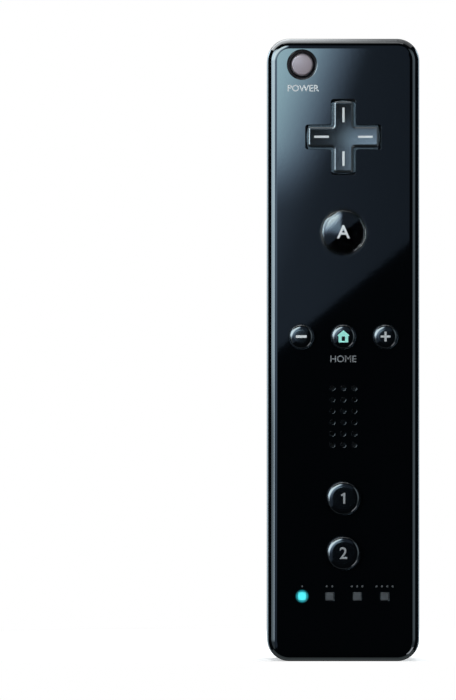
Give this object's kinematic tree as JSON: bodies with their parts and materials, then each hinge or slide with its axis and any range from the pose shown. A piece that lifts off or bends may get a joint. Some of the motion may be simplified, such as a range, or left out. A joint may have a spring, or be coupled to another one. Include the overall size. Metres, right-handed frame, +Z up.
{
  "type": "motion controller wand",
  "caption": "Slim hand-held motion controller wand with a cross-shaped direction pad, round keys, a back trigger, lift-off battery cover and an expansion socket in its base.",
  "frame": {"origin": "middle of the bounding box on the flat base that the wand stands on", "axes": "+Z up along the wand's length to its nose, -Y out of the front face with the keys, +X to the right seen from the front"},
  "size_m": [0.0362, 0.033, 0.148],
  "materials": {
    "front_gloss": "high gloss",
    "rear_satin": "satin",
    "ir_filter": "polished",
    "power_key": "translucent gloss",
    "clear_key": "clear gloss",
    "black_key": "gloss",
    "clear_lens": "clear",
    "keypad_rubber": "matte",
    "board_green": "solder mask",
    "chip_black": "moulded",
    "led_body": "moulded",
    "tin_shield": "tinned",
    "speaker_dark": "pressed",
    "foam": "foam",
    "bright_steel": "ground",
    "dull_steel": "sintered",
    "nickel": "nickel plated",
    "screw_zinc": "zinc plated",
    "socket_white": "moulded",
    "contact_gold": "plated",
    "sync_red": "gloss",
    "cell_sleeve": "printed sleeve"
  },
  "bodies": {
    "body": {"front_shell": "front_gloss", "rear_shell": "rear_satin", "ir_window": "ir_filter", "lamp_lenses": "clear_lens", "upper_keypad": "keypad_rubber", "middle_keypad": "keypad_rubber", "lower_keypad": "keypad_rubber", "main_board": "board_green", "motion_board": "board_green", "board_chips": "chip_black", "ir_camera": "chip_black", "trigger_switch": "chip_black", "sync_switch": "chip_black", "player_leds": "led_body", "radio_shield": "tin_shield", "speaker": "speaker_dark", "speaker_gasket": "foam", "trigger_pin": "bright_steel", "rumble_motor": "bright_steel", "trigger_spring": "nickel", "lower_contact_plate": "nickel", "lower_contact_spring": "nickel", "upper_contact_plates": "nickel", "upper_contact_spring": "nickel", "case_screws": "screw_zinc", "expansion_port": "socket_white", "port_contacts": "contact_gold", "aa_cell_left": "cell_sleeve", "aa_cell_right": "cell_sleeve"},
    "power_key": {"power_button": "power_key"},
    "a_key": {"a_button": "clear_key"},
    "minus_key": {"minus_button": "black_key"},
    "home_key": {"home_button": "black_key"},
    "plus_key": {"plus_button": "black_key"},
    "one_key": {"one_button": "black_key"},
    "two_key": {"two_button": "black_key"},
    "pad_rocker": {"dpad_pivot": "bright_steel"},
    "pad": {"dpad": "black_key"},
    "trigger_lever": {"trigger": "rear_satin"},
    "cover": {"battery_cover": "rear_satin"},
    "sync_key": {"sync_button": "sync_red"},
    "rumble_eccentric": {"rumble_weight": "dull_steel"}
  },
  "joints": [
    {"name": "power_press", "type": "slide", "parent": "body", "child": "power_key", "axis": [0, 1, 0], "range_m": [0, 0.0009], "stiffness_N_per_m": 1200, "deforming": ["upper_keypad"]},
    {"name": "a_press", "type": "slide", "parent": "body", "child": "a_key", "axis": [0, 1, 0], "range_m": [0, 0.0009], "stiffness_N_per_m": 1200, "deforming": ["upper_keypad"]},
    {"name": "minus_press", "type": "slide", "parent": "body", "child": "minus_key", "axis": [0, 1, 0], "range_m": [0, 0.0009], "stiffness_N_per_m": 1200, "deforming": ["middle_keypad"]},
    {"name": "home_press", "type": "slide", "parent": "body", "child": "home_key", "axis": [0, 1, 0], "range_m": [0, 0.0009], "stiffness_N_per_m": 1200, "deforming": ["middle_keypad"]},
    {"name": "plus_press", "type": "slide", "parent": "body", "child": "plus_key", "axis": [0, 1, 0], "range_m": [0, 0.0009], "stiffness_N_per_m": 1200, "deforming": ["middle_keypad"]},
    {"name": "one_press", "type": "slide", "parent": "body", "child": "one_key", "axis": [0, 1, 0], "range_m": [0, 0.0009], "stiffness_N_per_m": 1200, "deforming": ["lower_keypad"]},
    {"name": "two_press", "type": "slide", "parent": "body", "child": "two_key", "axis": [0, 1, 0], "range_m": [0, 0.0009], "stiffness_N_per_m": 1200, "deforming": ["lower_keypad"]},
    {"name": "pad_tilt_up_down", "type": "hinge", "parent": "body", "child": "pad_rocker", "pos_m": [0, -0.00985, 0.1246], "axis": [1, 0, 0], "range_deg": [-5, 5], "stiffness_Nm_per_rad": 0.08, "deforming": ["upper_keypad"]},
    {"name": "pad_tilt_left_right", "type": "hinge", "parent": "pad_rocker", "child": "pad", "pos_m": [0, -0.00985, 0.1246], "axis": [0, 0, 1], "range_deg": [-5, 5], "stiffness_Nm_per_rad": 0.08, "deforming": ["upper_keypad"]},
    {"name": "trigger_pull", "type": "hinge", "parent": "body", "child": "trigger_lever", "pos_m": [0, 0.0025, 0.1215], "axis": [-1, 0, 0], "range_deg": [0, 12], "stiffness_Nm_per_rad": 0.09, "springref_deg": -8.59, "deforming": ["trigger_spring"]},
    {"name": "cover_lift_off", "type": "slide", "parent": "body", "child": "cover", "axis": [0, 1, 0], "range_m": [0, 0.04]},
    {"name": "sync_press", "type": "slide", "parent": "body", "child": "sync_key", "axis": [0, -1, 0], "range_m": [0, 0.0009], "stiffness_N_per_m": 1200},
    {"name": "rumble_spin", "type": "hinge", "parent": "body", "child": "rumble_eccentric", "pos_m": [0.003, 0.0047, 0.0942], "axis": [1, 0, 0], "continuous": true}
  ]
}
